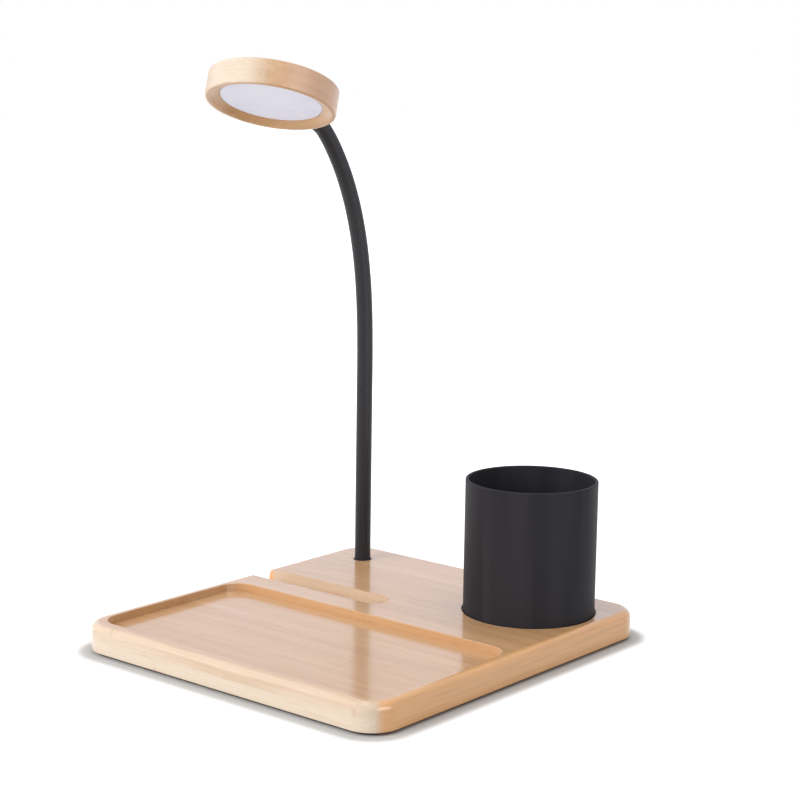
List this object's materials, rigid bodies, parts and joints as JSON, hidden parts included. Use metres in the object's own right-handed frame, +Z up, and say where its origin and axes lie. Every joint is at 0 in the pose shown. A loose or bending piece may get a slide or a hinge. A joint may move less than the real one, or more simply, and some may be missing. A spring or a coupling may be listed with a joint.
{
  "type": "desk organizer with gooseneck lamp",
  "caption": "Flat wooden desk organizer with a phone pocket over a wireless charger, a phone slot, a black pen cup, and a round lamp head on a bendable black neck.",
  "frame": {"origin": "middle of the base's footprint at desk level, on the underside of the soft mat", "axes": "+X to the right along the base's front edge, +Y to the back, away from the phone pocket, +Z up"},
  "size_m": [0.1996, 0.208, 0.2861],
  "materials": {
    "bamboo": "light bamboo, clear satin lacquer",
    "black_plastic": "matte black plastic",
    "black_neck": "satin black coated steel conduit",
    "mat_foam": "matt black foam mat",
    "felt": "black felt",
    "copper": "enamelled copper",
    "ferrite": "matt grey ferrite",
    "circuit_board": "green solder mask",
    "board_parts": "black moulded parts",
    "steel": "bright steel",
    "brass": "plain brass",
    "wire": "black wire insulation",
    "neck_wire": "red wire insulation",
    "white_plastic": "white plastic",
    "led": "yellow phosphor over white",
    "diffuser": "frosted white acrylic",
    "cup_black": "fine matt black"
  },
  "bodies": {
    "base": {"bamboo_base": "bamboo", "bottom_cover": "black_plastic", "cover_screws": "steel", "base_mat": "mat_foam", "charging_coil": "copper", "ferrite_sheet": "ferrite", "coil_leads": "copper", "charger_board": "circuit_board", "charger_parts": "board_parts", "power_board": "circuit_board", "power_parts": "board_parts", "power_lead": "wire", "board_screws": "steel", "usb_socket": "steel", "touch_disc": "copper", "touch_spring": "brass", "lamp_lead": "wire", "neck_collar": "black_plastic", "neck_ferrule": "brass", "neck_washer": "steel", "neck_nut": "brass", "neck_root": "black_neck"},
    "neck_01": {"neck_link_01": "black_neck", "neck_wire_01": "neck_wire"},
    "neck_02": {"neck_link_02": "black_neck", "neck_wire_02": "neck_wire"},
    "neck_03": {"neck_link_03": "black_neck", "neck_wire_03": "neck_wire"},
    "neck_04": {"neck_link_04": "black_neck", "neck_wire_04": "neck_wire"},
    "neck_05": {"neck_link_05": "black_neck", "neck_wire_05": "neck_wire"},
    "neck_06": {"neck_link_06": "black_neck", "neck_wire_06": "neck_wire"},
    "neck_07": {"neck_link_07": "black_neck", "neck_wire_07": "neck_wire"},
    "neck_08": {"neck_link_08": "black_neck", "neck_wire_08": "neck_wire"},
    "neck_09": {"neck_link_09": "black_neck", "neck_wire_09": "neck_wire"},
    "neck_10": {"neck_link_10": "black_neck", "neck_wire_10": "neck_wire"},
    "neck_11": {"neck_link_11": "black_neck", "neck_wire_11": "neck_wire"},
    "lamp_head": {"neck_end": "black_neck", "head_ferrule": "brass", "head_wire": "neck_wire", "head_shell": "bamboo", "light_board": "white_plastic", "leds": "led", "reflector_ring": "white_plastic", "diffuser": "diffuser"},
    "cup": {"pen_cup": "cup_black", "cup_felt": "felt"}
  },
  "joints": [
    {"name": "neck_bend_1", "type": "hinge", "parent": "base", "child": "neck_01", "pos_m": [-0.071, 0.0796, 0.0255], "axis": [1, 0, 0], "range_deg": [-8, 10]},
    {"name": "neck_sway_1", "type": "hinge", "parent": "neck_01", "child": "neck_02", "pos_m": [-0.071, 0.0796, 0.0465], "axis": [0, 1, 0], "range_deg": [-10, 10]},
    {"name": "neck_bend_2", "type": "hinge", "parent": "neck_02", "child": "neck_03", "pos_m": [-0.071, 0.0796, 0.0675], "axis": [1, 0, 0], "range_deg": [-8, 10]},
    {"name": "neck_sway_2", "type": "hinge", "parent": "neck_03", "child": "neck_04", "pos_m": [-0.071, 0.0796, 0.0885], "axis": [0, 1, 0], "range_deg": [-10, 10]},
    {"name": "neck_bend_3", "type": "hinge", "parent": "neck_04", "child": "neck_05", "pos_m": [-0.071, 0.0796, 0.1095], "axis": [1, 0, 0], "range_deg": [-8, 10]},
    {"name": "neck_sway_3", "type": "hinge", "parent": "neck_05", "child": "neck_06", "pos_m": [-0.071, 0.07955, 0.1305], "axis": [0, 0.9999, 0.0172], "range_deg": [-10, 10]},
    {"name": "neck_bend_4", "type": "hinge", "parent": "neck_06", "child": "neck_07", "pos_m": [-0.071, 0.07888, 0.15149], "axis": [1, 0, 0], "range_deg": [-8, 10]},
    {"name": "neck_sway_4", "type": "hinge", "parent": "neck_07", "child": "neck_08", "pos_m": [-0.071, 0.07692, 0.1724], "axis": [0, 0.9905, 0.1378], "range_deg": [-10, 10]},
    {"name": "neck_bend_5", "type": "hinge", "parent": "neck_08", "child": "neck_09", "pos_m": [-0.071, 0.07309, 0.19305], "axis": [1, 0, 0], "range_deg": [-8, 10]},
    {"name": "neck_sway_5", "type": "hinge", "parent": "neck_09", "child": "neck_10", "pos_m": [-0.071, 0.06685, 0.2131], "axis": [0, 0.9305, 0.3662], "range_deg": [-10, 10]},
    {"name": "neck_bend_6", "type": "hinge", "parent": "neck_10", "child": "neck_11", "pos_m": [-0.071, 0.05776, 0.23203], "axis": [1, 0, 0], "range_deg": [-8, 10]},
    {"name": "neck_sway_6", "type": "hinge", "parent": "neck_11", "child": "lamp_head", "pos_m": [-0.071, 0.04554, 0.2491], "axis": [0, 0.7036, 0.7106], "range_deg": [-10, 10]},
    {"name": "cup_lift", "type": "slide", "parent": "base", "child": "cup", "axis": [0, 0, 1], "range_m": [0, 0.08]}
  ],
  "couplings": [
    {"joint": "neck_bend_2", "follows": "neck_bend_1", "ratio": 1},
    {"joint": "neck_sway_2", "follows": "neck_sway_1", "ratio": 1},
    {"joint": "neck_bend_3", "follows": "neck_bend_1", "ratio": 1},
    {"joint": "neck_sway_3", "follows": "neck_sway_1", "ratio": 1},
    {"joint": "neck_bend_4", "follows": "neck_bend_1", "ratio": 1},
    {"joint": "neck_sway_4", "follows": "neck_sway_1", "ratio": 1},
    {"joint": "neck_bend_5", "follows": "neck_bend_1", "ratio": 1},
    {"joint": "neck_sway_5", "follows": "neck_sway_1", "ratio": 1},
    {"joint": "neck_bend_6", "follows": "neck_bend_1", "ratio": 1},
    {"joint": "neck_sway_6", "follows": "neck_sway_1", "ratio": 1}
  ]
}
